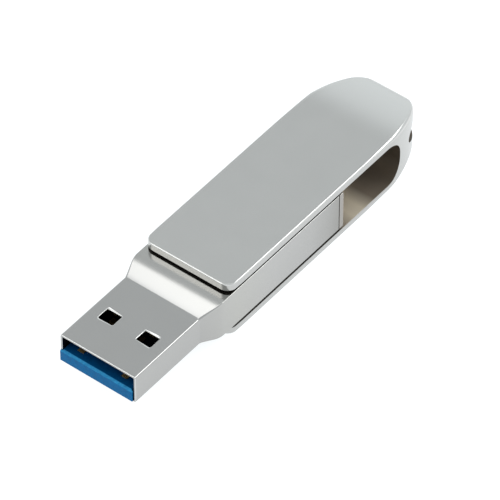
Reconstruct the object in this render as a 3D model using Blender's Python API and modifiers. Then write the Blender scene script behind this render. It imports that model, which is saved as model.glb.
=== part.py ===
"""USB flash drive with a swivelling U-shaped metal cover, as separate named pieces.

Frame: +X from the plug towards the closed end of the cover, +Z up, the origin on the
surface that the drive lies on, under the middle of its length and width. Metres.

Stations along the drive (the x in the functions below) are measured from the mouth of
the plug, and heights from the mid-plane of the drive. Three empties carry the pieces:
drive_frame for what stays with the plug, contact_set for the insulator and contacts, which
sit a little to one side in the plug, and cover_pivot for what swivels.
"""
import math

import bmesh
import bpy

MM = 0.001

# Plug (USB Standard-A, 9 contacts)
PLUG_HALF_WIDTH = 6.0 * MM
PLUG_HALF_HEIGHT = 2.25 * MM
PLUG_WALL = 0.3 * MM
PLUG_LENGTH = 12.65 * MM
PLUG_CORNER = 0.3 * MM
WINDOW_START = 5.2 * MM
WINDOW_LENGTH = 1.9 * MM
WINDOW_WIDTH = 2.3 * MM
WINDOW_OFFSET = 3.03 * MM

# Housing behind the plug
FLARE_STRAIGHT = 2.3 * MM
FLARE_CURVED = 1.7 * MM
BODY_HALF_WIDTH = 6.95 * MM
BODY_HALF_HEIGHT = 3.0 * MM
BODY_WALL = 0.8 * MM
BODY_CORNER = 0.25 * MM
BODY_END = 40.9 * MM
END_CAP_THICKNESS = 0.85 * MM
END_CAP_SEAM = 0.14 * MM
END_CAP_SPIGOT = 1.0 * MM
FIT_GAP = 0.1 * MM

# Swivel cover
COVER_START = 17.5 * MM
COVER_END = 60.1 * MM
COVER_HALF_WIDTH = 6.93 * MM
COVER_HALF_HEIGHT = 4.47 * MM
ARM_INNER = 3.385 * MM
COVER_EDGE = 0.2 * MM
FRONT_CORNER_RADIUS = 1.5 * MM
PLAN_CURVE_START = 51.43 * MM
PLAN_CURVE_POWERS = (1.34, 3.78)
PLAN_TIP_HALF_WIDTH = 1.4 * MM
PROFILE_CURVE_START = 50.1 * MM
PROFILE_DROP = 1.9 * MM
PROFILE_CURVE_POWER = 1.61
HOLLOW_END = 53.2 * MM
HOLLOW_CORNER = 3.0 * MM
SLOT_HALF_WIDTH = 6.0 * MM
SLOT_HALF_HEIGHT = 1.7 * MM
SLOT_FLOOR_X = 55.6 * MM
LANYARD_HOLE_HALF_WIDTH = 2.4 * MM
LANYARD_HOLE_HALF_HEIGHT = 1.1 * MM

# Pivot
PIVOT_X = 24.5 * MM
STUD_RADIUS = 1.5 * MM
STUD_HOLE_RADIUS = 1.56 * MM
STUD_INNER_END = 2.3 * MM
SPIGOT_RADIUS = 0.97 * MM
SPIGOT_HOLE_RADIUS = 1.0 * MM
SPIGOT_TOP = 3.92 * MM
SPIGOT_HOLE_TOP = 3.97 * MM
STUD_SHOULDER = 3.36 * MM
WASHER_INNER_RADIUS = 1.62 * MM
WASHER_OUTER_RADIUS = 3.5 * MM
WASHER_BOTTOM = 3.05 * MM
WASHER_TOP = 3.335 * MM

# Contact insulator
CONTACT_SET_SHIFT = 0.15 * MM
NOSE = 0.2 * MM
NOSE_GAP = 0.03 * MM
NOSE_LEFT = 5.8 * MM
NOSE_RIGHT = -5.72 * MM
NOSE_BOTTOM = -2.15 * MM
NOSE_OVERLAP = 0.1 * MM
TONGUE_HALF_WIDTH = 5.45 * MM
TONGUE_BOTTOM = -1.92 * MM
TONGUE_TOP = -0.25 * MM
NOSE_CHAMFER = 0.28 * MM
BLOCK_START = 10.6 * MM
BLOCK_END = 13.0 * MM
BLOCK_HALF_HEIGHT = 1.9 * MM

# Contacts
PAD_WIDTH = 0.95 * MM
PAD_THICKNESS = 0.22 * MM
PAD_TOP = -0.16 * MM
PAD_REAR = 8.0 * MM
PAD_GAP = 0.04 * MM
TAIL_END = 15.0 * MM
LOWER_RUN_TOP = -1.28 * MM
USB2_CONTACTS = {
    "contact_vbus": (3.5 * MM, 1.0 * MM),
    "contact_d_minus": (1.0 * MM, 2.0 * MM),
    "contact_d_plus": (-1.0 * MM, 2.0 * MM),
    "contact_ground": (-3.5 * MM, 1.0 * MM),
}
SPRING_WIDTH = 0.7 * MM
SPRING_THICKNESS = 0.15 * MM
SPRING_CREST_X = 8.9 * MM
SPRING_CREST_Z = 0.45 * MM
SPRING_TIP_X = 8.3 * MM
SPRING_TIP_Z = 0.15 * MM
SPRING_ROOT_X = 10.4 * MM
SPRING_ROOT_Z = -0.34 * MM
SUPERSPEED_CONTACTS = {
    "contact_ss_rx_minus": 4.0 * MM,
    "contact_ss_rx_plus": 2.0 * MM,
    "contact_ss_drain": 0.0,
    "contact_ss_tx_minus": -2.0 * MM,
    "contact_ss_tx_plus": -4.0 * MM,
}

# Electronics
BOARD_START = 13.25 * MM
BOARD_END = 38.4 * MM
BOARD_HALF_WIDTH = 5.45 * MM
BOARD_TOP = -0.45 * MM
BOARD_BOTTOM = -1.25 * MM
PLACEMENT_GAP = 0.03 * MM
CARRIER_START = 15.6 * MM
CARRIER_END = 38.7 * MM
CARRIER_HALF_WIDTH = 6.05 * MM
CARRIER_HALF_HEIGHT = 2.13 * MM
CARRIER_POCKET_HALF_WIDTH = 5.05 * MM
CARRIER_POCKET_HALF_HEIGHT = 1.75 * MM
# name: (centre x, centre y, length, width, height), all on the board's upper face
COMPONENTS = {
    "controller_chip": (19.6, 0.0, 5.0, 5.0, 0.8),
    "memory_chip": (31.0, 0.0, 13.0, 9.4, 1.0),
    "crystal": (16.9, 3.6, 2.0, 1.6, 0.5),
    "input_capacitor": (16.9, -3.6, 1.6, 0.8, 0.8),
    "core_capacitor": (19.6, 3.9, 1.6, 0.8, 0.8),
    "memory_capacitor": (23.2, 3.9, 1.6, 0.8, 0.8),
    "voltage_regulator": (19.6, -3.9, 1.9, 1.3, 0.9),
    "series_resistor": (16.3, 0.0, 0.5, 1.0, 0.35),
    "pull_up_resistor": (23.2, -3.9, 1.0, 0.5, 0.35),
}

ROUND_STEPS = 32
CORNER_STEPS = 3

X_CENTRE = (COVER_END - NOSE) / 2
Z_MIDDLE = COVER_HALF_HEIGHT

# name: (red, green, blue, metallic, roughness)
COLOURS = {
    "satin_nickel": (0.62, 0.62, 0.61, 1.0, 0.24),
    "blue_plastic": (0.02, 0.19, 0.42, 0.0, 0.35),
    "gold_plating": (0.86, 0.62, 0.27, 1.0, 0.25),
    "steel": (0.56, 0.56, 0.55, 1.0, 0.3),
    "nylon": (0.8, 0.79, 0.75, 0.0, 0.5),
    "black_plastic": (0.03, 0.03, 0.03, 0.0, 0.5),
    "board_green": (0.03, 0.2, 0.09, 0.0, 0.45),
    "chip_black": (0.02, 0.02, 0.022, 0.0, 0.55),
    "ceramic_tan": (0.45, 0.32, 0.2, 0.0, 0.5),
    "can_metal": (0.7, 0.7, 0.68, 1.0, 0.3),
}


def clear_scene():
    for item in list(bpy.data.objects):
        bpy.data.objects.remove(item, do_unlink=True)


def new_collection(name):
    collection = bpy.data.collections.new(name)
    bpy.context.scene.collection.children.link(collection)
    return collection


def new_material(name):
    red, green, blue, metallic, roughness = COLOURS[name]
    material = bpy.data.materials.new(name)
    material.use_nodes = True
    shader = material.node_tree.nodes["Principled BSDF"]
    shader.inputs["Base Color"].default_value = (red, green, blue, 1.0)
    shader.inputs["Metallic"].default_value = metallic
    shader.inputs["Roughness"].default_value = roughness
    material.diffuse_color = (red, green, blue, 1.0)
    return material


def new_empty(name, location, collection):
    empty = bpy.data.objects.new(name, None)
    empty.location = location
    collection.objects.link(empty)
    return empty


def finish_mesh(mesh_data, name, parent, collection, colour=None):
    """Turn a bmesh into a named object under its empty, with its colour."""
    mesh = bpy.data.meshes.new(name)
    bmesh.ops.recalc_face_normals(mesh_data, faces=mesh_data.faces)
    mesh_data.to_mesh(mesh)
    mesh_data.free()
    piece = bpy.data.objects.new(name, mesh)
    piece.parent = parent
    collection.objects.link(piece)
    if colour is not None:
        mesh.materials.append(colour)
    return piece


def shade_round(piece):
    piece.data.shade_smooth()
    piece.data.set_sharp_from_angle(angle=math.radians(35))


def box_mesh(low, high):
    mesh_data = bmesh.new()
    created = bmesh.ops.create_cube(mesh_data, size=1.0)
    for vert in created["verts"]:
        for axis in range(3):
            middle = (low[axis] + high[axis]) / 2
            size = high[axis] - low[axis]
            vert.co[axis] = middle + vert.co[axis] * size
    return mesh_data


def prism_mesh(outline, low, high, axis):
    """Push a closed outline of two coordinates along the third one, from low to high."""
    mesh_data = bmesh.new()
    corners = []
    for first, second in outline:
        place = {"x": (low, first, second), "y": (first, low, second), "z": (first, second, low)}[axis]
        corners.append(mesh_data.verts.new(place))
    face = mesh_data.faces.new(corners)
    pushed = bmesh.ops.extrude_face_region(mesh_data, geom=[face])
    shift = {"x": (high - low, 0, 0), "y": (0, high - low, 0), "z": (0, 0, high - low)}[axis]
    moved = [item for item in pushed["geom"] if isinstance(item, bmesh.types.BMVert)]
    bmesh.ops.translate(mesh_data, verts=moved, vec=shift)
    return mesh_data


def cylinder_mesh(centre_x, radius, low, high):
    mesh_data = bmesh.new()
    created = bmesh.ops.create_cone(
        mesh_data, cap_ends=True, segments=ROUND_STEPS,
        radius1=radius, radius2=radius, depth=high - low,
    )
    bmesh.ops.translate(mesh_data, verts=created["verts"], vec=(centre_x, 0, (low + high) / 2))
    return mesh_data


def ring(x, half_width, half_height, corner):
    """Points of a rectangle with rounded corners, across the drive at station x."""
    points = []
    for side, (sign_y, sign_z) in enumerate(((1, 1), (-1, 1), (-1, -1), (1, -1))):
        for step in range(CORNER_STEPS + 1):
            angle = math.radians(90) * (side + step / CORNER_STEPS)
            y = sign_y * (half_width - corner) + corner * math.cos(angle)
            z = sign_z * (half_height - corner) + corner * math.sin(angle)
            points.append((x, y, z))
    return points


def join_rings(mesh_data, rings):
    """Side faces through a row of rings; returns the vertices of each ring."""
    rows = [[mesh_data.verts.new(point) for point in points] for points in rings]
    for before, after in zip(rows, rows[1:]):
        count = len(before)
        for index in range(count):
            following = (index + 1) % count
            mesh_data.faces.new((before[index], before[following], after[following], after[index]))
    return rows


def loft_solid(rings):
    mesh_data = bmesh.new()
    rows = join_rings(mesh_data, rings)
    mesh_data.faces.new(rows[0])
    mesh_data.faces.new(rows[-1])
    return mesh_data


def loft_tube(outer, inner):
    """A wall between an outer and an inner row of rings, open at both ends."""
    mesh_data = bmesh.new()
    outer_rows = join_rings(mesh_data, outer)
    inner_rows = join_rings(mesh_data, inner)
    for side in (0, -1):
        count = len(outer_rows[side])
        for index in range(count):
            following = (index + 1) % count
            mesh_data.faces.new((
                outer_rows[side][index], outer_rows[side][following],
                inner_rows[side][following], inner_rows[side][index],
            ))
    return mesh_data


def turned(name, profile, parent, collection, colour):
    """A profile of (radius, height) points at +X, turned about Z with a Screw modifier."""
    mesh = bpy.data.meshes.new(name)
    edges = [(index, index + 1) for index in range(len(profile) - 1)]
    mesh.from_pydata([(radius, 0, height) for radius, height in profile], edges, [])
    piece = bpy.data.objects.new(name, mesh)
    piece.parent = parent
    collection.objects.link(piece)
    mesh.materials.append(colour)
    screw = piece.modifiers.new("turn", "SCREW")
    screw.steps = ROUND_STEPS
    screw.render_steps = ROUND_STEPS
    screw.use_merge_vertices = True
    screw.merge_threshold = 0.00001
    screw.use_smooth_shade = False
    return piece


def cut(piece, cutter, operation="DIFFERENCE"):
    cutter.hide_render = True
    cutter.display_type = "WIRE"
    modifier = piece.modifiers.new(cutter.name, "BOOLEAN")
    modifier.operation = operation
    modifier.solver = "EXACT"
    modifier.object = cutter


def blend(share):
    """Straight slope that runs into a rounded crest: 0 to 1 over the flare's length."""
    total = FLARE_STRAIGHT + FLARE_CURVED
    travelled = share * total
    full_rise = FLARE_STRAIGHT + FLARE_CURVED / 2
    if travelled <= FLARE_STRAIGHT:
        return travelled / full_rise
    past = travelled - FLARE_STRAIGHT
    return (FLARE_STRAIGHT + past - past * past / (2 * FLARE_CURVED)) / full_rise


def flare_stations():
    """Pairs of station and rise (0 at the plug, 1 at the body) along the flare."""
    total = FLARE_STRAIGHT + FLARE_CURVED
    shares = [0.0, 0.3, FLARE_STRAIGHT / total]
    curved = 8
    for step in range(1, curved + 1):
        shares.append((FLARE_STRAIGHT + FLARE_CURVED * step / curved) / total)
    return [(PLUG_LENGTH + share * total, blend(share)) for share in shares]


def body_section(rise):
    """Half width and half height of the housing's outside at a rise of the flare."""
    width = PLUG_HALF_WIDTH + (BODY_HALF_WIDTH - PLUG_HALF_WIDTH) * rise
    height = PLUG_HALF_HEIGHT + (BODY_HALF_HEIGHT - PLUG_HALF_HEIGHT) * rise
    return width, height


def body_housing(parent, parts, cutters, colours):
    """One-piece casing: plug shell, flare and body, open at the mouth and at the rear."""
    rear = BODY_END - END_CAP_THICKNESS - END_CAP_SEAM
    outer = [ring(0.0, PLUG_HALF_WIDTH, PLUG_HALF_HEIGHT, PLUG_CORNER)]
    for station, rise in flare_stations():
        width, height = body_section(rise)
        corner = PLUG_CORNER + (BODY_CORNER - PLUG_CORNER) * rise
        outer.append(ring(station, width, height, corner))
    outer.append(ring(rear, BODY_HALF_WIDTH, BODY_HALF_HEIGHT, BODY_CORNER))
    inner_corner = 0.15 * MM
    inner = [
        ring(station, half_width, half_height, inner_corner)
        for station, half_width, half_height in (
            (0.0, PLUG_HALF_WIDTH - PLUG_WALL, PLUG_HALF_HEIGHT - PLUG_WALL),
            (BLOCK_END + FIT_GAP, PLUG_HALF_WIDTH - PLUG_WALL, PLUG_HALF_HEIGHT - PLUG_WALL),
            (CARRIER_START - FIT_GAP, BODY_HALF_WIDTH - BODY_WALL, BODY_HALF_HEIGHT - BODY_WALL),
            (rear, BODY_HALF_WIDTH - BODY_WALL, BODY_HALF_HEIGHT - BODY_WALL),
        )
    ]
    colour = colours["satin_nickel"]
    housing = finish_mesh(loft_tube(outer, inner), "body_housing", parent, parts, colour)
    reach = 2 * BODY_HALF_HEIGHT
    for label, side in (("left", 1), ("right", -1)):
        middle = side * WINDOW_OFFSET
        low = (WINDOW_START, middle - WINDOW_WIDTH / 2, -reach)
        high = (WINDOW_START + WINDOW_LENGTH, middle + WINDOW_WIDTH / 2, reach)
        cut(housing, finish_mesh(box_mesh(low, high), "window_" + label, parent, cutters))
    hole = cylinder_mesh(PIVOT_X, STUD_HOLE_RADIUS, -reach, reach)
    cut(housing, finish_mesh(hole, "stud_holes", parent, cutters))
    shade_round(housing)


def rear_end_cap(parent, parts, colours):
    """End plate that closes the housing, with a spigot inside its walls."""
    plate_front = BODY_END - END_CAP_THICKNESS
    spigot_width = BODY_HALF_WIDTH - BODY_WALL - FIT_GAP
    spigot_height = BODY_HALF_HEIGHT - BODY_WALL - FIT_GAP
    chamfer = 0.12 * MM
    sections = (
        (plate_front - END_CAP_SPIGOT, spigot_width, spigot_height),
        (plate_front, spigot_width, spigot_height),
        (plate_front, BODY_HALF_WIDTH, BODY_HALF_HEIGHT),
        (BODY_END - chamfer, BODY_HALF_WIDTH, BODY_HALF_HEIGHT),
        (BODY_END, BODY_HALF_WIDTH - chamfer, BODY_HALF_HEIGHT - chamfer),
    )
    rings = [ring(x, width, height, BODY_CORNER / 2) for x, width, height in sections]
    cap = finish_mesh(loft_solid(rings), "rear_end_cap", parent, parts, colours["satin_nickel"])
    shade_round(cap)


def cover_half_width(x):
    """Half width of the cover in plan: round front corners, a narrowing closed end."""
    into = x - COVER_START
    if into < FRONT_CORNER_RADIUS:
        left = FRONT_CORNER_RADIUS - into
        return COVER_HALF_WIDTH - FRONT_CORNER_RADIUS + math.sqrt(FRONT_CORNER_RADIUS**2 - left**2)
    if x <= PLAN_CURVE_START:
        return COVER_HALF_WIDTH
    inner_power, outer_power = PLAN_CURVE_POWERS
    share = (x - PLAN_CURVE_START) / (COVER_END - PLAN_CURVE_START)
    width = COVER_HALF_WIDTH * max(0.0, 1 - share**inner_power) ** (1 / outer_power)
    return max(width, PLAN_TIP_HALF_WIDTH)


def cover_half_height(x):
    """Half height of the cover in side view: flat arms, then a rounded closed end."""
    if x <= PROFILE_CURVE_START:
        return COVER_HALF_HEIGHT
    share = (x - PROFILE_CURVE_START) / (COVER_END - PROFILE_CURVE_START)
    left = max(0.0, 1 - share**PROFILE_CURVE_POWER) ** (1 / PROFILE_CURVE_POWER)
    return COVER_HALF_HEIGHT - PROFILE_DROP * (1 - left)


def cover_stations():
    corner_steps = 6
    stations = []
    for step in range(corner_steps + 1):
        angle = math.radians(90) * step / corner_steps
        stations.append(COVER_START + FRONT_CORNER_RADIUS * (1 - math.cos(angle)))
    stations.append(PROFILE_CURVE_START)
    end_steps = 22
    for step in range(end_steps + 1):
        left = (1 - step / end_steps) ** 1.7
        stations.append(COVER_END - (COVER_END - PLAN_CURVE_START) * left)
    return stations


def arc(centre, radius, start, stop, steps):
    points = []
    for step in range(steps + 1):
        angle = math.radians(start + (stop - start) * step / steps)
        points.append((centre[0] + radius * math.cos(angle), centre[1] + radius * math.sin(angle)))
    return points


def stadium(half_width, half_height):
    """Outline of a slot with round ends, wide across the drive."""
    turn_y = half_width - half_height
    outline = arc((turn_y, 0.0), half_height, -90, 90, 10)
    return outline + arc((-turn_y, 0.0), half_height, 90, 270, 10)


def swivel_cover(parent, parts, cutters, colours):
    """U-shaped cover: two flat arms joined by a solid rounded end.

    The end has a wide slot in its outer face, and a narrower hole from there into the hollow,
    for a lanyard.
    """
    rings = []
    for x in cover_stations():
        corner = COVER_EDGE
        rings.append(ring(x - PIVOT_X, cover_half_width(x), cover_half_height(x), corner))
    cover = finish_mesh(loft_solid(rings), "swivel_cover", parent, parts, colours["satin_nickel"])
    reach = 2 * COVER_HALF_WIDTH
    turn_x = HOLLOW_END - HOLLOW_CORNER - PIVOT_X
    turn_z = ARM_INNER - HOLLOW_CORNER
    front = COVER_START - PIVOT_X - reach
    hollow = [(front, -ARM_INNER)]
    hollow += arc((turn_x, -turn_z), HOLLOW_CORNER, -90, 0, 8)
    hollow += arc((turn_x, turn_z), HOLLOW_CORNER, 0, 90, 8)
    hollow.append((front, ARM_INNER))
    cut(cover, finish_mesh(prism_mesh(hollow, -reach, reach, "y"), "cover_hollow", parent, cutters))
    slot = stadium(SLOT_HALF_WIDTH, SLOT_HALF_HEIGHT)
    slot_end = COVER_END - PIVOT_X + HOLLOW_CORNER
    slot_mesh = prism_mesh(slot, SLOT_FLOOR_X - PIVOT_X, slot_end, "x")
    cut(cover, finish_mesh(slot_mesh, "lanyard_slot", parent, cutters))
    passage = stadium(LANYARD_HOLE_HALF_WIDTH, LANYARD_HOLE_HALF_HEIGHT)
    passage_start = HOLLOW_END - PIVOT_X - HOLLOW_CORNER
    passage_mesh = prism_mesh(passage, passage_start, slot_end, "x")
    cut(cover, finish_mesh(passage_mesh, "lanyard_hole", parent, cutters))
    hole = cylinder_mesh(0.0, SPIGOT_HOLE_RADIUS, -SPIGOT_HOLE_TOP, SPIGOT_HOLE_TOP)
    cut(cover, finish_mesh(hole, "spigot_holes", parent, cutters))
    shade_round(cover)


def pivot_pieces(parent, parts, colours):
    """Studs pressed into the arms' inner faces, and the washers they turn in."""
    for label, side in (("upper", 1), ("lower", -1)):
        stud = [
            (0.0, SPIGOT_TOP), (SPIGOT_RADIUS, SPIGOT_TOP), (SPIGOT_RADIUS, STUD_SHOULDER),
            (STUD_RADIUS, STUD_SHOULDER), (STUD_RADIUS, STUD_INNER_END), (0.0, STUD_INNER_END),
        ]
        washer = [
            (WASHER_INNER_RADIUS, WASHER_TOP), (WASHER_OUTER_RADIUS, WASHER_TOP),
            (WASHER_OUTER_RADIUS, WASHER_BOTTOM), (WASHER_INNER_RADIUS, WASHER_BOTTOM),
            (WASHER_INNER_RADIUS, WASHER_TOP),
        ]
        for name, profile, colour in (
            (label + "_pivot_stud", stud, colours["steel"]),
            (label + "_friction_washer", washer, colours["nylon"]),
        ):
            piece = turned(name, profile, parent, parts, colour)
            if side < 0:
                piece.rotation_euler = (math.pi, 0, 0)


def contact_insulator(parent, parts, cutters, colours):
    """Blue tongue with its front nose, and the block that holds the contacts behind."""
    outline = [
        (NOSE_OVERLAP - NOSE, TONGUE_BOTTOM), (BLOCK_END, TONGUE_BOTTOM),
        (BLOCK_END, BLOCK_HALF_HEIGHT), (BLOCK_START, BLOCK_HALF_HEIGHT),
        (BLOCK_START, TONGUE_TOP), (NOSE_OVERLAP - NOSE, TONGUE_TOP),
    ]
    tongue_mesh = prism_mesh(outline, -TONGUE_HALF_WIDTH, TONGUE_HALF_WIDTH, "y")
    insulator = finish_mesh(tongue_mesh, "contact_insulator", parent, parts, colours["blue_plastic"])
    nose_low = (-NOSE, NOSE_RIGHT, NOSE_BOTTOM)
    nose_high = (-NOSE_GAP, NOSE_LEFT, TONGUE_TOP - NOSE_GAP)
    nose = finish_mesh(box_mesh(nose_low, nose_high), "nose", parent, cutters)
    cut(insulator, nose, "UNION")
    clear = BODY_HALF_WIDTH
    wedge = [
        (-2 * NOSE, TONGUE_TOP - NOSE_CHAMFER - NOSE),
        (NOSE_CHAMFER, TONGUE_TOP + NOSE), (-2 * NOSE, TONGUE_TOP + NOSE),
    ]
    wedge_mesh = prism_mesh(wedge, -clear, clear, "y")
    cut(insulator, finish_mesh(wedge_mesh, "nose_chamfer", parent, cutters))
    rear = BLOCK_END + FIT_GAP
    pad_floor = PAD_TOP - PAD_THICKNESS - PAD_GAP
    run_floor = LOWER_RUN_TOP - PAD_THICKNESS - PAD_GAP
    for name, (y, start) in USB2_CONTACTS.items():
        half = PAD_WIDTH / 2 + PAD_GAP
        drop_start = PAD_REAR - PAD_THICKNESS - PAD_GAP
        drop_end = PAD_REAR + PAD_GAP
        outline = [
            (start - PAD_GAP, pad_floor), (drop_start, pad_floor), (drop_start, run_floor),
            (rear, run_floor), (rear, LOWER_RUN_TOP + PAD_GAP),
            (drop_end, LOWER_RUN_TOP + PAD_GAP), (drop_end, 0.0), (start - PAD_GAP, 0.0),
        ]
        channel = prism_mesh(outline, y - half, y + half, "y")
        cut(insulator, finish_mesh(channel, name + "_channel", parent, cutters))
    for name, y in SUPERSPEED_CONTACTS.items():
        half = SPRING_WIDTH / 2 + PAD_GAP
        low = (PAD_REAR + 0.6 * MM, y - half, SPRING_ROOT_Z - SPRING_THICKNESS / 2 - PAD_GAP)
        high = (rear, y + half, SPRING_ROOT_Z + SPRING_THICKNESS / 2 + PAD_GAP)
        cut(insulator, finish_mesh(box_mesh(low, high), name + "_channel", parent, cutters))


def usb2_contacts(parent, parts, colours):
    """Flat pads on the tongue that step down and run back under the board."""
    for name, (y, start) in USB2_CONTACTS.items():
        pad_bottom = PAD_TOP - PAD_THICKNESS
        outline = [
            (start, pad_bottom), (PAD_REAR - PAD_THICKNESS, pad_bottom),
            (PAD_REAR - PAD_THICKNESS, LOWER_RUN_TOP - PAD_THICKNESS),
            (TAIL_END, LOWER_RUN_TOP - PAD_THICKNESS), (TAIL_END, LOWER_RUN_TOP),
            (PAD_REAR, LOWER_RUN_TOP), (PAD_REAR, PAD_TOP), (start, PAD_TOP),
        ]
        half = PAD_WIDTH / 2
        strip = prism_mesh(outline, y - half, y + half, "y")
        finish_mesh(strip, name, parent, parts, colours["gold_plating"])


def superspeed_contacts(parent, parts, colours):
    """Spring contacts that arch above the tongue, behind the flat pads."""
    half_thickness = SPRING_THICKNESS / 2
    route = [
        (TAIL_END, SPRING_ROOT_Z), (SPRING_ROOT_X, SPRING_ROOT_Z),
        (SPRING_CREST_X + 0.25 * MM, SPRING_CREST_Z - 0.05 * MM),
        (SPRING_CREST_X - 0.05 * MM, SPRING_CREST_Z), (SPRING_TIP_X, SPRING_TIP_Z),
    ]
    outline = [(x, z + half_thickness) for x, z in route]
    outline += [(x, z - half_thickness) for x, z in reversed(route)]
    half = SPRING_WIDTH / 2
    for name, y in SUPERSPEED_CONTACTS.items():
        spring = prism_mesh(outline, y - half, y + half, "y")
        finish_mesh(spring, name, parent, parts, colours["gold_plating"])


def board_and_components(parent, parts, colours):
    low = (BOARD_START, -BOARD_HALF_WIDTH, BOARD_BOTTOM)
    high = (BOARD_END, BOARD_HALF_WIDTH, BOARD_TOP)
    finish_mesh(box_mesh(low, high), "circuit_board", parent, parts, colours["board_green"])
    floor = BOARD_TOP + PLACEMENT_GAP
    for name, values in COMPONENTS.items():
        x, y, length, width, height = (value * MM for value in values)
        low = (x - length / 2, y - width / 2, floor)
        high = (x + length / 2, y + width / 2, floor + height)
        colour = colours["chip_black"]
        if name == "crystal":
            colour = colours["can_metal"]
        if name.endswith("capacitor"):
            colour = colours["ceramic_tan"]
        finish_mesh(box_mesh(low, high), name, parent, parts, colour)


def board_carriers(parent, parts, cutters, colours):
    """Two plastic trays that hold the board's long edges inside the housing."""
    colour = colours["black_plastic"]
    edge_gap = 0.05 * MM
    for label, low_z, high_z, pocket_low, pocket_high in (
        ("lower", -CARRIER_HALF_HEIGHT, BOARD_BOTTOM - edge_gap,
         -CARRIER_POCKET_HALF_HEIGHT, BOARD_TOP),
        ("upper", BOARD_TOP + edge_gap, CARRIER_HALF_HEIGHT,
         BOARD_BOTTOM, CARRIER_POCKET_HALF_HEIGHT),
    ):
        low = (CARRIER_START, -CARRIER_HALF_WIDTH, low_z)
        high = (CARRIER_END, CARRIER_HALF_WIDTH, high_z)
        name = label + "_board_carrier"
        tray = finish_mesh(box_mesh(low, high), name, parent, parts, colour)
        pocket_low_corner = (CARRIER_START - FIT_GAP, -CARRIER_POCKET_HALF_WIDTH, pocket_low)
        pocket_high_corner = (CARRIER_END - BODY_WALL, CARRIER_POCKET_HALF_WIDTH, pocket_high)
        pocket = box_mesh(pocket_low_corner, pocket_high_corner)
        cut(tray, finish_mesh(pocket, name + "_pocket", parent, cutters))


def main():
    clear_scene()
    parts = new_collection("usb_flash_drive")
    cutters = new_collection("cutters")
    colours = {name: new_material(name) for name in COLOURS}
    drive_frame = new_empty("drive_frame", (-X_CENTRE, 0, Z_MIDDLE), parts)
    contact_set = new_empty("contact_set", (-X_CENTRE, CONTACT_SET_SHIFT, Z_MIDDLE), parts)
    cover_pivot = new_empty("cover_pivot", (PIVOT_X - X_CENTRE, 0, Z_MIDDLE), parts)
    body_housing(drive_frame, parts, cutters, colours)
    rear_end_cap(drive_frame, parts, colours)
    swivel_cover(cover_pivot, parts, cutters, colours)
    pivot_pieces(cover_pivot, parts, colours)
    contact_insulator(contact_set, parts, cutters, colours)
    usb2_contacts(contact_set, parts, colours)
    superspeed_contacts(contact_set, parts, colours)
    board_and_components(drive_frame, parts, colours)
    board_carriers(drive_frame, parts, cutters, colours)


main()
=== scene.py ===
"""Looks of the USB flash drive: fine meshes for the metal casing and the swivel cover,
procedural materials, a white table, soft studio light and the camera.
"""
import math

import bmesh
import bpy
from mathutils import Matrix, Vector


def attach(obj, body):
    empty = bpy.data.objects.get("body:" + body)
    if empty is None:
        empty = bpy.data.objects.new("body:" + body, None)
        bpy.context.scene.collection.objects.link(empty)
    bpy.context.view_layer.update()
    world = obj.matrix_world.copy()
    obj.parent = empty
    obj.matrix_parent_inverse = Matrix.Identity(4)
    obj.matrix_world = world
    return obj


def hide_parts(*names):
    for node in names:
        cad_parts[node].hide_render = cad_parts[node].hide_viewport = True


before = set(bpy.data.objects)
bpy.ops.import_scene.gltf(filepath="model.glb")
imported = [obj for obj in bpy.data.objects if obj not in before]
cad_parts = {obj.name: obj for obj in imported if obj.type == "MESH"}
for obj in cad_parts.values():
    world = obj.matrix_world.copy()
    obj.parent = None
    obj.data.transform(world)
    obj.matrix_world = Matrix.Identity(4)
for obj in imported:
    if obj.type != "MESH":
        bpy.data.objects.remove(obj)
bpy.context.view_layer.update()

MM = 0.001

# ---------------------------------------------------------------- driving dimensions
# Stations (x) run from the mouth of the plug, heights (z) from the drive's mid-plane.
X_CENTRE = 29.95 * MM
Z_MIDDLE = 4.47 * MM

PLUG_HALF_WIDTH = 6.0 * MM
PLUG_HALF_HEIGHT = 2.25 * MM
PLUG_WALL = 0.3 * MM
PLUG_LENGTH = 12.65 * MM
PLUG_BORE_END = 13.1 * MM
PLUG_CORNER = 0.3 * MM
WINDOW_START = 5.2 * MM
WINDOW_LENGTH = 1.9 * MM
WINDOW_WIDTH = 2.3 * MM
WINDOW_OFFSET = 3.03 * MM

# The flare rises over a hollow foot, a straight slope and a rounded crest.
FLARE_FOOT = 0.8 * MM
FLARE_FOOT_SLOPE = 0.7
FLARE_STRAIGHT = 1.3 * MM
FLARE_CURVED = 1.6 * MM
BODY_HALF_WIDTH = 6.95 * MM
BODY_HALF_HEIGHT = 3.0 * MM
BODY_WALL = 0.8 * MM
BODY_BORE_START = 15.5 * MM
BORE_CORNER = 0.15 * MM
BODY_CORNER = 0.12 * MM
BODY_END = 40.9 * MM
END_CAP_THICKNESS = 0.85 * MM
END_CAP_SEAM = 0.14 * MM
END_CAP_SPIGOT = 1.0 * MM
FIT_GAP = 0.1 * MM
STUD_HOLE_RADIUS = 1.56 * MM

COVER_START = 17.5 * MM
COVER_END = 60.1 * MM
COVER_HALF_WIDTH = 6.93 * MM
COVER_HALF_HEIGHT = 4.47 * MM
ARM_INNER = 3.385 * MM
FRONT_CORNER_RADIUS = 1.5 * MM
PLAN_CURVE_START = 51.43 * MM
PLAN_CURVE_POWERS = (1.34, 3.78)
PLAN_TIP_HALF_WIDTH = 1.4 * MM
PROFILE_CURVE_START = 50.1 * MM
PROFILE_DROP = 1.9 * MM
PROFILE_CURVE_POWER = 1.61
HOLLOW_END = 53.2 * MM
HOLLOW_CORNER = 3.0 * MM
SLOT_HALF_WIDTH = 6.0 * MM
SLOT_HALF_HEIGHT = 1.7 * MM
SLOT_FLOOR_X = 55.6 * MM
LANYARD_HOLE_HALF_WIDTH = 2.4 * MM
LANYARD_HOLE_HALF_HEIGHT = 1.1 * MM
PIVOT_X = 24.5 * MM

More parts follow.
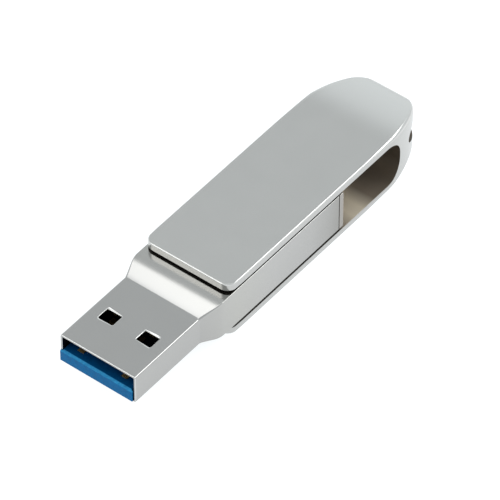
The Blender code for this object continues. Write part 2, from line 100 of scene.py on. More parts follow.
# Radii of rounded edges.
WINDOW_EDGE = 0.14 * MM
SHELL_EDGE = 0.075 * MM
SEAM_EDGE = 0.035 * MM
CAP_EDGE = 0.14 * MM
CAD_NODE_EDGE = 0.035 * MM
CONTACT_EDGE = 0.14 * MM
EDGE_NARROW = 0.24 * MM
EDGE_WIDEST = 0.68 * MM
FRONT_EDGE = 0.17 * MM
END_EDGE = 0.4 * MM
EDGE_GROWS_FROM = 44.0 * MM
EDGE_GROWS_TO = 56.5 * MM

# The blue insulator, for its colours: its nose stands out of the mouth by NOSE.
NOSE = 0.2 * MM
NOSE_CHAMFER = 0.28 * MM
TONGUE_TOP = -0.25 * MM

# Points this close are merged after a cut, or count as lying on a plane.
MESH_SLIVER = 0.002 * MM
TOUCHING = 0.01 * MM
# Angles in degrees past which an edge gets a bevel weight, is bevelled, or breaks the shading.
WEIGHED_ANGLE = 35
BEVEL_ANGLE = 40
SHARP_ANGLE = 32
FLAT_FACE_WEIGHT = 80

# ---------------------------------------------------------------- camera and studio
CAMERA_AZIMUTH = -51.8
CAMERA_ELEVATION = 45.62
CAMERA_DISTANCE = 626.6 * MM
CAMERA_AIM = (-1.33 * MM, -1.4 * MM, 3.33 * MM)
CAMERA_LENS = 355.6
CAMERA_SENSOR = 36.0
CAMERA_CLIP_START = 10 * MM

# Brightness of the sky against the height of the direction looked in (0 to 1).
SKY_STOPS = ((0.0, 1.0), (0.36, 1.0), (0.54, 0.96), (0.72, 0.88), (0.88, 0.8))
SKY_TINT = (0.93, 0.98, 1.0)

TABLE_HALF_SIZE = 1500 * MM
TABLE_DROP = 0.02 * MM
TABLE_COLOUR = (0.3, 0.3, 0.3)
TABLE_ROUGHNESS = 0.9
TABLE_GLOW = 0.87
TABLE_TINT = (0.95, 0.98, 1.0)

WHITE = (1.0, 1.0, 1.0)
# Name, azimuth and elevation in degrees, distance and size in metres, power in watts, colour.
SOFTBOXES = (
    ("overhead", 156, 72, 0.6, (0.34, 0.24), 0.42, WHITE),
    ("right_side", 58, 41, 0.8, (0.7, 0.26), 1.9, WHITE),
    ("back_left", -125, 38, 0.8, (0.4, 0.3), 0.8, WHITE),
    ("far_end", 117, 20, 0.9, (0.6, 0.5), 0.31, (0.9, 0.96, 1.0)),
)

# ---------------------------------------------------------------- looks
# Colours at stations along the drive, blended in between; they paint in light and shade.
# Insulator: its own blue at the front face, then painted shade that deepens to near black inside
# the shell.
INSULATOR_SHADE_BANDS = (
    (-0.1 * MM, (0.0, 0.102, 0.262)),
    (0.15 * MM, (0.0, 0.065, 0.19)),
    (1.8 * MM, (0.0, 0.022, 0.09)),
    (4.2 * MM, (0.001, 0.002, 0.005)),
)
# Inside the cover: painted shade, darkest along the arms and at the closed end, with a pale band
# of painted reflection between.
HOLLOW_SHADE_AND_REFLECTION_BANDS = (
    (17.5 * MM, (0.09, 0.08, 0.07)),
    (40.0 * MM, (0.09, 0.08, 0.07)),
    (41.4 * MM, (0.42, 0.36, 0.29)),
    (43.4 * MM, (0.86, 0.77, 0.62)),
    (45.2 * MM, (0.84, 0.75, 0.6)),
    (47.6 * MM, (0.26, 0.215, 0.17)),
    (53.2 * MM, (0.09, 0.07, 0.05)),
)
# Housing: painted light behind the flare, painted shade towards the rear seam.
HOUSING_LIGHT_AND_SHADE_BANDS = (
    (1.0 * MM, (0.98, 0.98, 0.98)),
    (13.0 * MM, (0.98, 0.98, 0.98)),
    (19.0 * MM, (1.08, 1.08, 1.05)),
    (27.0 * MM, (1.06, 1.06, 1.06)),
    (34.0 * MM, (1.0, 1.0, 1.0)),
    (38.0 * MM, (0.86, 0.86, 0.85)),
    (39.9 * MM, (0.76, 0.75, 0.73)),
)
# Contacts: painted shade deeper inside the shell.
GOLD_SHADE_BANDS = (
    (3.0 * MM, (1.0, 1.0, 1.0)),
    (5.2 * MM, (0.3, 0.29, 0.29)),
)

# Metals: colour, roughness, depth of the grain, and bands of painted light and shade that multiply
# the colour.
METALS = {
    "cover_nickel": ((0.495, 0.492, 0.478), 0.22, 0.0006 * MM, None),
    "housing_nickel": ((0.425, 0.42, 0.41), 0.15, 0.0005 * MM, HOUSING_LIGHT_AND_SHADE_BANDS),
    "cap_nickel": ((0.35, 0.33, 0.305), 0.2, 0.0006 * MM, None),
    # Rounded edges: glossier, and lighter than the flats as a painted highlight.
    "polished_edge_painted_highlight": ((0.6, 0.595, 0.58), 0.14, 0.0002 * MM, None),
    # Walls of the bore and the cap's spigot, near black: painted shade.
    "bore_painted_shade": ((0.035, 0.032, 0.03), 0.4, 0.001 * MM, None),
    "gold": ((0.95, 0.7, 0.33), 0.4, 0.0004 * MM, GOLD_SHADE_BANDS),
    "steel": ((0.45, 0.45, 0.44), 0.28, 0.001 * MM, None),
}
# Plastics: colour, roughness, depth of the grain.
PLASTICS = {
    "nylon": ((0.72, 0.71, 0.67), 0.5, 0.0015 * MM),
    "carrier_black": ((0.02, 0.02, 0.02), 0.55, 0.0015 * MM),
    "board_green": ((0.02, 0.14, 0.06), 0.4, 0.0015 * MM),
    "chip_epoxy": ((0.015, 0.015, 0.017), 0.6, 0.004 * MM),
    "ceramic": ((0.4, 0.27, 0.16), 0.5, 0.0015 * MM),
}
METAL_WAVES = 0.0012 * MM
HOLLOW_METALLIC = 0.5
HOLLOW_ROUGHNESS = (0.36, 0.46)
HOLLOW_GRAIN = 0.001 * MM
# Colour of the painted highlight along the insulator's front chamfer.
INSULATOR_HIGHLIGHT_COLOUR = (0.03, 0.26, 0.5)
INSULATOR_ROUGHNESS = (0.34, 0.46)
INSULATOR_GRAIN = 0.004 * MM
INSULATOR_SPECULAR = 0.07
# Spread of the painted highlight's pale streaks on the chamfer.
CHAMFER_HIGHLIGHT_RANGE = (0.35, 1.0)
MOTTLE_RANGE = (0.84, 1.16)
TEXTURE_RANGE = (0.3, 0.7)

# The CAD nodes that stay, by the look that each one gets.
CAD_LOOKS = {
    "steel": ["upper_pivot_stud", "lower_pivot_stud", "crystal"],
    "nylon": ["upper_friction_washer", "lower_friction_washer"],
    "blue_plastic": ["contact_insulator"],
    "gold": [
        "contact_vbus", "contact_d_minus", "contact_d_plus", "contact_ground",
        "contact_ss_rx_minus", "contact_ss_rx_plus", "contact_ss_drain",
        "contact_ss_tx_minus", "contact_ss_tx_plus",
    ],
    "carrier_black": ["lower_board_carrier", "upper_board_carrier"],
    "board_green": ["circuit_board"],
    "chip_epoxy": [
        "controller_chip", "memory_chip", "voltage_regulator",
        "series_resistor", "pull_up_resistor",
    ],
    "ceramic": ["input_capacitor", "core_capacitor", "memory_capacitor"],
}


# ================================================================ small helpers
def link(item):
    bpy.context.scene.collection.objects.link(item)
    return item


def object_from(mesh_data, name):
    """A bmesh in stations and heights becomes an object in the frame of the CAD model."""
    bmesh.ops.recalc_face_normals(mesh_data, faces=mesh_data.faces)
    bmesh.ops.translate(mesh_data, verts=mesh_data.verts, vec=(-X_CENTRE, 0, Z_MIDDLE))
    mesh = bpy.data.meshes.new(name)
    mesh_data.to_mesh(mesh)
    mesh_data.free()
    return link(bpy.data.objects.new(name, mesh))


def box_mesh(low, high):
    mesh_data = bmesh.new()
    for vert in bmesh.ops.create_cube(mesh_data, size=1.0)["verts"]:
        for axis in range(3):
            middle = (low[axis] + high[axis]) / 2
            vert.co[axis] = middle + vert.co[axis] * (high[axis] - low[axis])
    return mesh_data


def prism_mesh(outline, low, high, axis):
    """Push a closed outline of two coordinates along the third one, x or y."""
    mesh_data = bmesh.new()
    corners = []
    for first, second in outline:
        place = {"x": (low, first, second), "y": (first, low, second)}
        corners.append(mesh_data.verts.new(place[axis]))
    face = mesh_data.faces.new(corners)
    pushed = bmesh.ops.extrude_face_region(mesh_data, geom=[face])
    shift = {"x": (high - low, 0, 0), "y": (0, high - low, 0)}[axis]
    moved = [item for item in pushed["geom"] if isinstance(item, bmesh.types.BMVert)]
    bmesh.ops.translate(mesh_data, verts=moved, vec=shift)
    return mesh_data


def cylinder_mesh(centre_x, radius, low, high):
    mesh_data = bmesh.new()
    created = bmesh.ops.create_cone(
        mesh_data, cap_ends=True, segments=64, radius1=radius, radius2=radius, depth=high - low,
    )
    bmesh.ops.translate(mesh_data, verts=created["verts"], vec=(centre_x, 0, (low + high) / 2))
    return mesh_data


def arc(centre, radius, start, stop, steps):
    points = []
    for step in range(steps + 1):
        angle = math.radians(start + (stop - start) * step / steps)
        points.append((centre[0] + radius * math.cos(angle), centre[1] + radius * math.sin(angle)))
    return points


def apply_modifiers(piece):
    """Replace the object's mesh by its evaluated one and drop the modifiers."""
    graph = bpy.context.evaluated_depsgraph_get()
    made = bpy.data.meshes.new_from_object(piece.evaluated_get(graph))
    piece.modifiers.clear()
    old = piece.data
    piece.data = made
    made.name = piece.name
    bpy.data.meshes.remove(old)


def cut_out(piece, others):
    """Cut each of the others out of the piece; they are then thrown away."""
    for other in others:
        modifier = piece.modifiers.new(other.name, "BOOLEAN")
        modifier.operation = "DIFFERENCE"
        modifier.solver = "EXACT"
        modifier.object = other
    apply_modifiers(piece)
    for other in others:
        mesh = other.data
        bpy.data.objects.remove(other, do_unlink=True)
        bpy.data.meshes.remove(mesh)


def tidy_mesh(piece):
    """Merge the slivers that a Boolean leaves along its cut."""
    mesh_data = bmesh.new()
    mesh_data.from_mesh(piece.data)
    bmesh.ops.remove_doubles(mesh_data, verts=mesh_data.verts, dist=MESH_SLIVER)
    bmesh.ops.dissolve_degenerate(mesh_data, edges=mesh_data.edges, dist=MESH_SLIVER)
    mesh_data.to_mesh(piece.data)
    mesh_data.free()


def give_looks(piece, materials, looks):
    """Fill the piece's material slots anew with the named materials."""
    piece.data.materials.clear()
    for look in looks:
        piece.data.materials.append(materials[look])


def turns_past(edge, angle):
    """Whether the two faces at an edge turn by more than the angle, in degrees."""
    return len(edge.link_faces) == 2 and edge.calc_face_angle() > math.radians(angle)


def weigh_edges(piece, weight_at):
    """Give every sharp edge a bevel weight that depends on where its middle lies."""
    mesh_data = bmesh.new()
    mesh_data.from_mesh(piece.data)
    layer = mesh_data.edges.layers.float.new("bevel_weight_edge")
    for edge in mesh_data.edges:
        if turns_past(edge, WEIGHED_ANGLE):
            middle = (edge.verts[0].co + edge.verts[1].co) / 2
            edge[layer] = weight_at(middle.x + X_CENTRE, middle.y, middle.z - Z_MIDDLE)
    mesh_data.to_mesh(piece.data)
    mesh_data.free()


def round_edges(piece, width, segments, limit, material=-1):
    """Bevel the weighted edges, or those past BEVEL_ANGLE; the new faces may take a material."""
    bevel = piece.modifiers.new("rounded_edges", "BEVEL")
    bevel.width = width
    bevel.segments = segments
    bevel.limit_method = limit
    bevel.angle_limit = math.radians(BEVEL_ANGLE)
    bevel.material = material
    bevel.miter_outer = "MITER_ARC"
    bevel.use_clamp_overlap = True


def sharpen(piece):
    """Mark the edges at which smooth shading breaks."""
    mesh_data = bmesh.new()
    mesh_data.from_mesh(piece.data)
    for edge in mesh_data.edges:
        edge.smooth = not turns_past(edge, SHARP_ANGLE)
    mesh_data.to_mesh(piece.data)
    mesh_data.free()


def shade(piece):
    """Smooth shading with large faces kept flat."""
    piece.data.shade_smooth()
    weighted = piece.modifiers.new("even_normals", "WEIGHTED_NORMAL")
    weighted.mode = "FACE_AREA_WITH_ANGLE"
    weighted.weight = FLAT_FACE_WEIGHT
    weighted.keep_sharp = True


# ================================================================ materials
def node_tree(name):
    material = bpy.data.materials.new(name)
    material.use_nodes = True
    tree = material.node_tree
    return material, tree, tree.nodes["Principled BSDF"]


def add(tree, kind, **values):
    node = tree.nodes.new(kind)
    for key, value in values.items():
        if key in node.inputs:
            node.inputs[key].default_value = value
        else:
            setattr(node, key, value)
    return node


def noise(tree, scale, detail=2.0, roughness=0.5):
    coordinates = add(tree, "ShaderNodeTexCoord")
    texture = add(tree, "ShaderNodeTexNoise", Scale=scale, Detail=detail, Roughness=roughness)
    tree.links.new(coordinates.outputs["Object"], texture.inputs["Vector"])
    return texture.outputs["Fac"]


def map_range(tree, source, source_range, low=0.0, high=1.0):
    node = add(tree, "ShaderNodeMapRange")
    node.inputs["From Min"].default_value, node.inputs["From Max"].default_value = source_range
    node.inputs["To Min"].default_value = low
    node.inputs["To Max"].default_value = high
    tree.links.new(source, node.inputs["Value"])
    return node.outputs["Result"]


def spread(tree, source, low, high):
    """Map the usual range of a noise texture onto low to high."""
    return map_range(tree, source, TEXTURE_RANGE, low, high)


def feed(tree, socket, value):
    """Link an output to the socket, or set the socket to a number or a colour."""
    if isinstance(value, bpy.types.NodeSocket):
        tree.links.new(value, socket)
    elif isinstance(value, tuple):
        socket.default_value = (*value, 1.0)
    else:
        socket.default_value = value


def mix_colours(tree, factor, first, second, blend="MIX"):
    node = add(tree, "ShaderNodeMix", data_type="RGBA", blend_type=blend)
    feed(tree, node.inputs["Factor"], factor)
    colour_sockets = [socket for socket in node.inputs if socket.type == "RGBA"]
    for socket, colour in zip(colour_sockets, (first, second)):
        feed(tree, socket, colour)
    return next(socket for socket in node.outputs if socket.type == "RGBA")


def multiply(tree, first, second):
    node = add(tree, "ShaderNodeMath", operation="MULTIPLY")
    tree.links.new(first, node.inputs[0])
    tree.links.new(second, node.inputs[1])
    return node.outputs["Value"]


def bump(tree, source, distance, below=None):
    node = add(tree, "ShaderNodeBump", Strength=1.0, Distance=distance)
    tree.links.new(source, node.inputs["Height"])
    if below is not None:
        tree.links.new(below, node.inputs["Normal"])
    return node.outputs["Normal"]


def position(tree):
    """The object's own coordinates, as outputs X, Y and Z."""
    coordinates = add(tree, "ShaderNodeTexCoord")
    split = add(tree, "ShaderNodeSeparateXYZ")
    tree.links.new(coordinates.outputs["Object"], split.inputs["Vector"])
    return split.outputs


def fill_ramp(ramp, stops):
    """Put colours on a colour ramp, which starts with two stops."""
    elements = ramp.color_ramp.elements
    while len(elements) < len(stops):
        elements.new(0.5)
    for element, (place, colour) in zip(elements, stops):
        element.position = place
        element.color = (*colour, 1.0)


def ramp_along_x(tree, bands):
    """Colours at stations along the drive, blended in between."""
    first, last = bands[0][0], bands[-1][0]
    ramp = add(tree, "ShaderNodeValToRGB")
    along = map_range(tree, position(tree)["X"], (first - X_CENTRE, last - X_CENTRE))
    tree.links.new(along, ramp.inputs["Fac"])
    fill_ramp(ramp, [((x - first) / (last - first), colour) for x, colour in bands])
    return ramp.outputs["Color"]


def dress(tree, shader, colour, roughness, normal):
    tree.links.new(colour, shader.inputs["Base Color"])
    tree.links.new(roughness, shader.inputs["Roughness"])
    tree.links.new(normal, shader.inputs["Normal"])


def nickel(name, colour, roughness, grain, bands):
    """Plated metal: a fine blasted grain, slow waviness, faint smudges in the gloss.

    Bands along the drive, where given, multiply the colour with painted light and shade.
    """
    material, tree, shader = node_tree(name)
    shader.inputs["Metallic"].default_value = 1.0
    slow = noise(tree, 90.0, 1.0)
    smudges = noise(tree, 260.0, 4.0, 0.6)
    fine = noise(tree, 9000.0, 3.0, 0.6)
    darker = tuple(channel * 0.985 for channel in colour)
    tinted = mix_colours(tree, spread(tree, smudges, 0.0, 1.0), darker, colour)
    if bands is not None:
        tinted = mix_colours(tree, 1.0, tinted, ramp_along_x(tree, bands), "MULTIPLY")
    gloss = spread(tree, smudges, roughness * 0.95, roughness * 1.05)
    dress(tree, shader, tinted, gloss, bump(tree, fine, grain, bump(tree, slow, METAL_WAVES)))
    return material


def plastic(name, colour, roughness, grain):
    """Moulded plastic or ceramic: cloudy colour and gloss, and a very fine grain."""
    material, tree, shader = node_tree(name)
    clouds = noise(tree, 900.0, 3.0)
    fine = noise(tree, 14000.0, 2.0)
    darker = tuple(channel * 0.88 for channel in colour)
    tinted = mix_colours(tree, spread(tree, clouds, 0.0, 1.0), darker, colour)
    gloss = spread(tree, clouds, roughness * 0.9, roughness * 1.1)
    dress(tree, shader, tinted, gloss, bump(tree, fine, grain))
    return material


def shaded_hollow(name, bands):
    """Unpolished plating inside the cover, brown, with painted shade along the drive and a pale
    band of painted reflection.
    """
    material, tree, shader = node_tree(name)
    shader.inputs["Metallic"].default_value = HOLLOW_METALLIC
    gloss = spread(tree, noise(tree, 500.0, 3.0), *HOLLOW_ROUGHNESS)
    grain = bump(tree, noise(tree, 5000.0, 3.0), HOLLOW_GRAIN)
    dress(tree, shader, ramp_along_x(tree, bands), gloss, grain)
    return material


def insulator_blue(name, bands, highlight_colour):
    """Moulded blue plastic with painted shade, darker inside the shell, and a painted highlight in
    pale streaks along its front chamfer.
    """
    material, tree, shader = node_tree(name)
    shader.inputs["Specular IOR Level"].default_value = INSULATOR_SPECULAR
    place = position(tree)
    top = TONGUE_TOP + Z_MIDDLE
    chamfer_heights = (top - NOSE_CHAMFER * 1.15, top - NOSE_CHAMFER * 0.9)
    height = map_range(tree, place["Z"], chamfer_heights)
    chamfer_back = NOSE_CHAMFER - NOSE - X_CENTRE
    blend = 0.03 * MM
    front = map_range(tree, place["X"], (chamfer_back + blend, chamfer_back - blend))
    chamfer = multiply(tree, height, front)
    # Painted highlight in pale streaks along the front chamfer.
    chamfer_highlight = multiply(tree, chamfer, spread(tree, noise(tree, 2600.0, 4.0, 0.7), *CHAMFER_HIGHLIGHT_RANGE))
    # The bands paint shade deeper inside the shell; the painted highlight goes over them.
    highlighted = mix_colours(tree, chamfer_highlight, ramp_along_x(tree, bands), highlight_colour)
    clouds = noise(tree, 1500.0, 4.0, 0.65)
    mottled = add(tree, "ShaderNodeHueSaturation")
    tree.links.new(highlighted, mottled.inputs["Color"])
    tree.links.new(spread(tree, clouds, *MOTTLE_RANGE), mottled.inputs["Value"])
    gloss = spread(tree, clouds, *INSULATOR_ROUGHNESS)
    grain = bump(tree, noise(tree, 9000.0, 3.0), INSULATOR_GRAIN)
    dress(tree, shader, mottled.outputs["Color"], gloss, grain)
    return material


def all_materials():
    made = {name: nickel(name, *settings) for name, settings in METALS.items()}
    made.update({name: plastic(name, *settings) for name, settings in PLASTICS.items()})
    made["hollow_painted_light_and_shade"] = shaded_hollow("hollow_painted_light_and_shade", HOLLOW_SHADE_AND_REFLECTION_BANDS)
    made["blue_plastic"] = insulator_blue("blue_plastic", INSULATOR_SHADE_BANDS, INSULATOR_HIGHLIGHT_COLOUR)
    return made


# ================================================================ the housing
def ring(x, half_width, half_height, corner, steps=8):
    """Points of a rectangle with rounded corners, across the drive at station x."""
    points = []
    for side, (sign_y, sign_z) in enumerate(((1, 1), (-1, 1), (-1, -1), (1, -1))):
        for step in range(steps + 1):
            angle = math.radians(90) * (side + step / steps)
            y = sign_y * (half_width - corner) + corner * math.cos(angle)
            z = sign_z * (half_height - corner) + corner * math.sin(angle)
            points.append((x, y, z))
    return points


def join_rings(mesh_data, rings):
    rows = [[mesh_data.verts.new(point) for point in points] for points in rings]
    for before, after in zip(rows, rows[1:]):
        count = len(before)
        for index in range(count):
            following = (index + 1) % count
            mesh_data.faces.new((before[index], before[following], after[following], after[index]))
    return rows


def loft_solid(rings):
    mesh_data = bmesh.new()
    rows = join_rings(mesh_data, rings)
    mesh_data.faces.new(rows[0])
    mesh_data.faces.new(rows[-1])
    return mesh_data


def loft_tube(outer, inner):
    """A wall between an outer and an inner row of rings, open at both ends."""
    mesh_data = bmesh.new()
    outer_rows = join_rings(mesh_data, outer)
    inner_rows = join_rings(mesh_data, inner)
    for side in (0, -1):
        count = len(outer_rows[side])
        for index in range(count):
            following = (index + 1) % count
            mesh_data.faces.new((
                outer_rows[side][index], outer_rows[side][following],
                inner_rows[side][following], inner_rows[side][index],
            ))
    return mesh_data


def flare_rise(x):
    """0 on the plug, 1 on the body: a slightly hollow foot, a straight slope, a rounded crest."""
    travelled = min(max(x - PLUG_LENGTH, 0.0), FLARE_FOOT + FLARE_STRAIGHT + FLARE_CURVED)
    foot_rise = FLARE_FOOT * (1 + FLARE_FOOT_SLOPE) / 2
    full_rise = foot_rise + FLARE_STRAIGHT + FLARE_CURVED / 2
    if travelled <= FLARE_FOOT:
        gain = (1 - FLARE_FOOT_SLOPE) / (2 * FLARE_FOOT)
        return travelled * (FLARE_FOOT_SLOPE + gain * travelled) / full_rise
    past = travelled - FLARE_FOOT
    if past <= FLARE_STRAIGHT:
        return (foot_rise + past) / full_rise
    past -= FLARE_STRAIGHT
    return (foot_rise + FLARE_STRAIGHT + past - past * past / (2 * FLARE_CURVED)) / full_rise


def flare_stations():
    """Stations of the flare, close together where it curves."""
    foot = 8
    stations = [PLUG_LENGTH - 0.3 * MM]
    stations += [PLUG_LENGTH + FLARE_FOOT * step / foot for step in range(foot + 1)]
    crest_start = PLUG_LENGTH + FLARE_FOOT + FLARE_STRAIGHT
    crest = 24
    stations += [crest_start + FLARE_CURVED * step / crest for step in range(crest + 1)]
    return stations + [crest_start + FLARE_CURVED + 0.3 * MM]


def outer_size(x):
    """Half width, half height and corner radius of the housing at a station."""
    rise = flare_rise(x)
    width = PLUG_HALF_WIDTH + (BODY_HALF_WIDTH - PLUG_HALF_WIDTH) * rise
    height = PLUG_HALF_HEIGHT + (BODY_HALF_HEIGHT - PLUG_HALF_HEIGHT) * rise
    corner = PLUG_CORNER + (BODY_CORNER - PLUG_CORNER) * rise
    return width, height, corner


def looks_into_bore(face):
    """Whether a face of the housing is part of the bore's walls."""
    x = face.center.x + X_CENTRE
    y, z = face.center.y, face.center.z - Z_MIDDLE
    width, height, corner = outer_size(x)
    across = y if abs(face.normal.y) > 0.5 else z
    faces_in = face.normal.y * y + face.normal.z * z < -0.5 * abs(across)
    inside = abs(y) < width - PLUG_WALL + FIT_GAP and abs(z) < height - PLUG_WALL + FIT_GAP
    return faces_in and inside and x > TOUCHING


def housing_edge_weight(x, y, z):
    """Windows have a wider, rolled edge; the seam at the rear stays crisp."""
    near_window = WINDOW_START - FIT_GAP < x < WINDOW_START + WINDOW_LENGTH + FIT_GAP
    if near_window and abs(y) < PLUG_HALF_WIDTH - PLUG_WALL:
        return 1.0 if abs(z) > PLUG_HALF_HEIGHT - PLUG_WALL / 2 else 0.1
    if x > BODY_END - 2 * END_CAP_THICKNESS:
        return SEAM_EDGE / WINDOW_EDGE
    return SHELL_EDGE / WINDOW_EDGE


def body_housing(materials):
    """Plug shell, flare and body in one, with the windows and the stud holes cut out."""
    rear = BODY_END - END_CAP_THICKNESS - END_CAP_SEAM
    outer = [ring(x, *outer_size(x)) for x in [0.0] + flare_stations() + [rear]]
    plug_bore = (PLUG_HALF_WIDTH - PLUG_WALL, PLUG_HALF_HEIGHT - PLUG_WALL, BORE_CORNER)
    body_bore = (BODY_HALF_WIDTH - BODY_WALL, BODY_HALF_HEIGHT - BODY_WALL, BORE_CORNER)
    inner = [
        ring(0.0, *plug_bore),
        ring(PLUG_BORE_END, *plug_bore),
        ring(BODY_BORE_START, *body_bore),
        ring(rear, *body_bore),
    ]
    housing = object_from(loft_tube(outer, inner), "housing")
    cutters = []
    reach = 2 * BODY_HALF_HEIGHT
    for side in (1, -1):
        middle = side * WINDOW_OFFSET
        low = (WINDOW_START, middle - WINDOW_WIDTH / 2, -reach)
        high = (WINDOW_START + WINDOW_LENGTH, middle + WINDOW_WIDTH / 2, reach)
        cutters.append(object_from(box_mesh(low, high), "window"))
    stud_hole = cylinder_mesh(PIVOT_X, STUD_HOLE_RADIUS, -reach, reach)
    cutters.append(object_from(stud_hole, "stud_hole"))
    cut_out(housing, cutters)
    tidy_mesh(housing)
    give_looks(housing, materials, ["housing_nickel", "polished_edge_painted_highlight", "bore_painted_shade"])
    # Faces of the bore take the painted shade.
    for face in housing.data.polygons:
        if looks_into_bore(face):
            face.material_index = 2
    weigh_edges(housing, housing_edge_weight)
    # The rounded edges take the glossier, lighter edge nickel, a painted highlight.
    round_edges(housing, WINDOW_EDGE, 3, "WEIGHT", material=1)
    shade(housing)
    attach(housing, "drive")
    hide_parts("body_housing")


def cap_edge_weight(x, y, z):
    """The outer edge is well rounded; those at the seam stay crisp."""
    return 1.0 if x > BODY_END - TOUCHING else SEAM_EDGE / CAP_EDGE


def rear_end_cap(materials):
    """The plate at the body's rear, with a spigot that goes into the bore."""
    plate_front = BODY_END - END_CAP_THICKNESS
    spigot_width = BODY_HALF_WIDTH - BODY_WALL - FIT_GAP
    spigot_height = BODY_HALF_HEIGHT - BODY_WALL - FIT_GAP
    rings = [
        ring(plate_front - END_CAP_SPIGOT, spigot_width, spigot_height, BODY_CORNER),
        ring(plate_front, spigot_width, spigot_height, BODY_CORNER),
        ring(plate_front, BODY_HALF_WIDTH, BODY_HALF_HEIGHT, BODY_CORNER),
        ring(BODY_END, BODY_HALF_WIDTH, BODY_HALF_HEIGHT, BODY_CORNER),
    ]
    cap = object_from(loft_solid(rings), "end_cap")
    give_looks(cap, materials, ["cap_nickel", "bore_painted_shade"])
    # The spigot, in the seam, takes the painted shade.
    for face in cap.data.polygons:
        if face.center.x + X_CENTRE < plate_front + TOUCHING:
            face.material_index = 1
    weigh_edges(cap, cap_edge_weight)
    round_edges(cap, CAP_EDGE, 3, "WEIGHT")
    shade(cap)
    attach(cap, "drive")
    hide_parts("rear_end_cap")


# ================================================================ the swivel cover
def cover_half_width(x):
    """Half width of the cover in plan."""
    into = x - COVER_START
    if into < FRONT_CORNER_RADIUS:
        left = FRONT_CORNER_RADIUS - into
        return COVER_HALF_WIDTH - FRONT_CORNER_RADIUS + math.sqrt(FRONT_CORNER_RADIUS**2 - left**2)
    if x <= PLAN_CURVE_START:
        return COVER_HALF_WIDTH
    inner_power, outer_power = PLAN_CURVE_POWERS
    share = (x - PLAN_CURVE_START) / (COVER_END - PLAN_CURVE_START)
    width = COVER_HALF_WIDTH * max(0.0, 1 - share**inner_power) ** (1 / outer_power)
    return max(width, PLAN_TIP_HALF_WIDTH)


def rounding(inside, radius):
    """How far a rounded edge has fallen away, given the distance inside its end."""
    if inside >= radius:
        return 0.0
    return radius - math.sqrt(radius**2 - (radius - inside) ** 2)


def cover_half_height(x):
    """Half height of the cover: flat arms, a falling closed end, rounded ends."""
    height = COVER_HALF_HEIGHT - rounding(x - COVER_START, FRONT_EDGE)
    height -= rounding(COVER_END - x, END_EDGE)
    if x > PROFILE_CURVE_START:
        share = (x - PROFILE_CURVE_START) / (COVER_END - PROFILE_CURVE_START)
        left = max(0.0, 1 - share**PROFILE_CURVE_POWER) ** (1 / PROFILE_CURVE_POWER)
        height -= PROFILE_DROP * (1 - left)
    return height


def cover_edge(x):
    """Radius of the long outer edges, which widen from the arms to the closed end."""
    share = min(max((x - EDGE_GROWS_FROM) / (EDGE_GROWS_TO - EDGE_GROWS_FROM), 0.0), 1.0)
    taper = min(max((x - EDGE_GROWS_TO) / (COVER_END - EDGE_GROWS_TO), 0.0), 1.0)
    widest = EDGE_WIDEST + (EDGE_NARROW - EDGE_WIDEST) * taper
    return EDGE_NARROW + (widest - EDGE_NARROW) * share * share * (3 - 2 * share)


def cover_stations():
    """Stations close together where the outline turns in, and further apart along the arms."""
    fine, longest_turn, longest_curved, longest_flat = 0.002 * MM, 0.08 * MM, 0.32 * MM, 1.5 * MM
    stations = [COVER_START]
    for step in range(1, round((COVER_END - COVER_START) / fine)):
        x = COVER_START + step * fine
        last = stations[-1]
        narrowed = cover_half_width(x) - cover_half_width(last)
        lowered = cover_half_height(x) - cover_half_height(last)
        longest = longest_curved if x > EDGE_GROWS_FROM else longest_flat
        if math.hypot(narrowed, lowered) > longest_turn or x - last > longest:
            stations.append(x)
    return stations + [COVER_END]


def stadium(half_width, half_height):
    """Outline of a slot with round ends, wide across the drive."""
    turn_y = half_width - half_height
    outline = arc((turn_y, 0.0), half_height, -90, 90, 32)
    return outline + arc((-turn_y, 0.0), half_height, 90, 270, 32)


def swivel_cover(materials):
    """Two flat arms joined by a closed end: a loft with rounded edges, hollowed and slotted."""
    rings = [
        ring(x, cover_half_width(x), cover_half_height(x), cover_edge(x), steps=6)
        for x in cover_stations()
    ]
    cover = object_from(loft_solid(rings), "cover")
    reach = 3 * COVER_HALF_HEIGHT
    front = COVER_START - reach
    turn_x = HOLLOW_END - HOLLOW_CORNER
    turn_z = ARM_INNER - HOLLOW_CORNER
    hollow = [(front, -ARM_INNER)]
    hollow += arc((turn_x, -turn_z), HOLLOW_CORNER, -90, 0, 32)
    hollow += arc((turn_x, turn_z), HOLLOW_CORNER, 0, 90, 32)
    hollow.append((front, ARM_INNER))
    slot = stadium(SLOT_HALF_WIDTH, SLOT_HALF_HEIGHT)
    passage = stadium(LANYARD_HOLE_HALF_WIDTH, LANYARD_HOLE_HALF_HEIGHT)
    cut_out(cover, [
        object_from(prism_mesh(hollow, -reach, reach, "y"), "hollow"),
        object_from(prism_mesh(slot, SLOT_FLOOR_X, COVER_END + reach, "x"), "slot"),
        object_from(prism_mesh(passage, turn_x, COVER_END + reach, "x"), "passage"),
    ])
    tidy_mesh(cover)
    give_looks(cover, materials, ["cover_nickel", "polished_edge_painted_highlight", "hollow_painted_light_and_shade"])
    # Faces inside the hollow take its painted shade and painted reflection.
    for face in cover.data.polygons:
        face.material_index = cover_face_look(face)
    sharpen(cover)
    shade(cover)
    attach(cover, "cover")
    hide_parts("swivel_cover")


def cover_face_look(face):
    """0 on the flats, 1 on the rounded outer edges, 2 inside the hollow."""
    x, z = face.center.x + X_CENTRE, face.center.z - Z_MIDDLE
    inward = face.normal.z * z < 0 and abs(face.normal.z) > 0.05
    end_wall = face.normal.x < -0.05 and x > HOLLOW_END - HOLLOW_CORNER
    if abs(z) < ARM_INNER + 0.02 * MM and (inward or end_wall):
        return 2
    # Rounded edges take the glossier, lighter edge nickel, a painted highlight.
    leaning = abs(face.normal.z) > 0.15 and math.hypot(face.normal.x, face.normal.y) > 0.4
    return 1 if leaning else 0


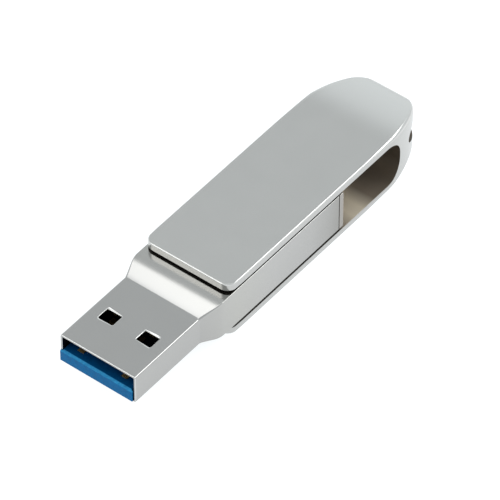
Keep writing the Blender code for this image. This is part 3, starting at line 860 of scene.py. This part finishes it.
# ================================================================ camera, light, table
def direction(azimuth, elevation):
    """Unit vector towards a viewpoint: azimuth 0 is the -Y side, positive towards +X."""
    flat, up = math.radians(azimuth), math.radians(elevation)
    return Vector((math.sin(flat) * math.cos(up), -math.cos(flat) * math.cos(up), math.sin(up)))


def look_along(item, place, target):
    item.location = place
    item.rotation_euler = (target - place).to_track_quat("-Z", "Y").to_euler()


def camera():
    data = bpy.data.cameras.new("camera")
    data.lens = CAMERA_LENS
    data.sensor_width = CAMERA_SENSOR
    data.clip_start = CAMERA_CLIP_START
    item = link(bpy.data.objects.new("camera", data))
    aim = Vector(CAMERA_AIM)
    look_along(item, aim + direction(CAMERA_AZIMUTH, CAMERA_ELEVATION) * CAMERA_DISTANCE, aim)
    bpy.context.scene.camera = item


def softbox(name, azimuth, elevation, distance, size, power, colour):
    """A rectangular light that looks at the drive."""
    data = bpy.data.lights.new(name, "AREA")
    data.shape = "RECTANGLE"
    data.size, data.size_y = size
    data.energy = power
    data.color = colour
    item = link(bpy.data.objects.new(name, data))
    look_along(item, direction(azimuth, elevation) * distance, Vector((0, 0, 0)))


def sky(world):
    """Bright at the horizon, greyer half way up: a white sweep under a dimmer ceiling."""
    world.use_nodes = True
    tree = world.node_tree
    background = tree.nodes["Background"]
    coordinates = add(tree, "ShaderNodeTexCoord")
    split = add(tree, "ShaderNodeSeparateXYZ")
    tree.links.new(coordinates.outputs["Generated"], split.inputs["Vector"])
    ramp = add(tree, "ShaderNodeValToRGB")
    tree.links.new(split.outputs["Z"], ramp.inputs["Fac"])
    tree.links.new(ramp.outputs["Color"], background.inputs["Color"])
    fill_ramp(ramp, [
        (place, tuple(level * channel for channel in SKY_TINT)) for place, level in SKY_STOPS
    ])


def table():
    """A white table lit from below, so that it stays white right up to the drive."""
    mesh_data = bmesh.new()
    bmesh.ops.create_grid(mesh_data, x_segments=1, y_segments=1, size=TABLE_HALF_SIZE)
    mesh = bpy.data.meshes.new("table")
    mesh_data.to_mesh(mesh)
    mesh_data.free()
    plane = link(bpy.data.objects.new("table", mesh))
    plane.location.z = -TABLE_DROP
    material, tree, shader = node_tree("table_white")
    shader.inputs["Base Color"].default_value = (*TABLE_COLOUR, 1.0)
    shader.inputs["Roughness"].default_value = TABLE_ROUGHNESS
    shader.inputs["Specular IOR Level"].default_value = 0.0
    shader.inputs["Emission Color"].default_value = (*TABLE_TINT, 1.0)
    shader.inputs["Emission Strength"].default_value = TABLE_GLOW
    mesh.materials.append(material)


def studio():
    scene = bpy.context.scene
    scene.view_settings.view_transform = "Standard"
    scene.world = bpy.data.worlds.new("studio")
    sky(scene.world)
    table()
    for settings in SOFTBOXES:
        softbox(*settings)


def dress_cad_nodes(materials):
    """New materials and slightly rounded edges for the CAD nodes that stay."""
    for look, names in CAD_LOOKS.items():
        for name in names:
            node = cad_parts[name]
            give_looks(node, materials, [look])
            round_edges(node, CONTACT_EDGE if look == "gold" else CAD_NODE_EDGE, 2, "ANGLE")


materials = all_materials()
camera()
studio()
swivel_cover(materials)
body_housing(materials)
rear_end_cap(materials)
dress_cad_nodes(materials)
